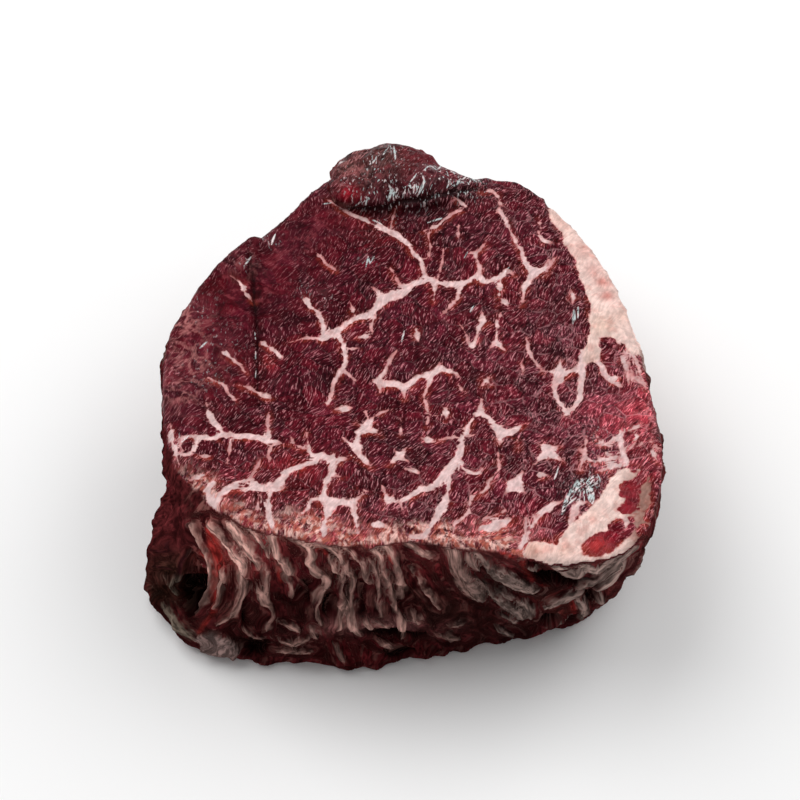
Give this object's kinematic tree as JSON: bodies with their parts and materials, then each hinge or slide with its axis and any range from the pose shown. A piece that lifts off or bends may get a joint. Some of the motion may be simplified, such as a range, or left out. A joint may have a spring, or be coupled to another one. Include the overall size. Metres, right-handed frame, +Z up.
{
  "type": "raw beef tenderloin steak",
  "caption": "Thick raw marbled beef tenderloin steak lying flat with its cut face up, with a raised lobe, a knife slit, a fat cap and a pleated side.",
  "frame": {"origin": "middle of the steak's bounding box on the surface it lies on", "axes": "+Z up through the cut face, +Y to the back of the steak where the raised lobe is, +X to its right"},
  "size_m": [0.091, 0.0898, 0.0412],
  "materials": {
    "raw_meat": "moist marbled raw beef, dark red with pale pink fat seams"
  },
  "bodies": {
    "root": {"tenderloin_steak": "raw_meat"}
  },
  "joints": []
}
